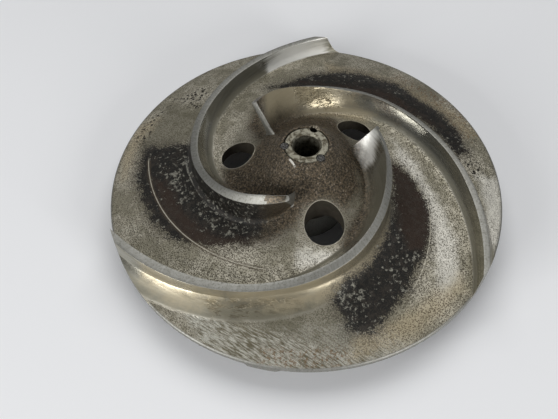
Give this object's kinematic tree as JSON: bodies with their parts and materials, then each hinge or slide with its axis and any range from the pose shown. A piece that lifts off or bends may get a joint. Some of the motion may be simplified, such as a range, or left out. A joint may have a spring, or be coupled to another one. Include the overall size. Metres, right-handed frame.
{
  "type": "pump impeller",
  "caption": "Semi-open pump impeller with three swept vanes on a round shroud, balance holes, pump-out vanes and a threaded nose bush.",
  "frame": {"origin": "on the shaft axis, at the rear face of the hub, which stands on the floor", "axes": "+Z along the shaft axis, from the rear hub to the nose and the suction side; the vanes run clockwise outwards seen from +Z"},
  "size_m": [0.254, 0.254, 0.0709],
  "materials": {
    "cast_steel": "sand-cast skin, pitted and stained brown, with turned vane edges",
    "bush_steel": "turned, dulled and stained",
    "pin_steel": "filed flush, dark"
  },
  "bodies": {
    "root": {"impeller_casting": "cast_steel", "nose_bush": "bush_steel", "lock_pin_1": "pin_steel", "lock_pin_2": "pin_steel"}
  },
  "joints": []
}
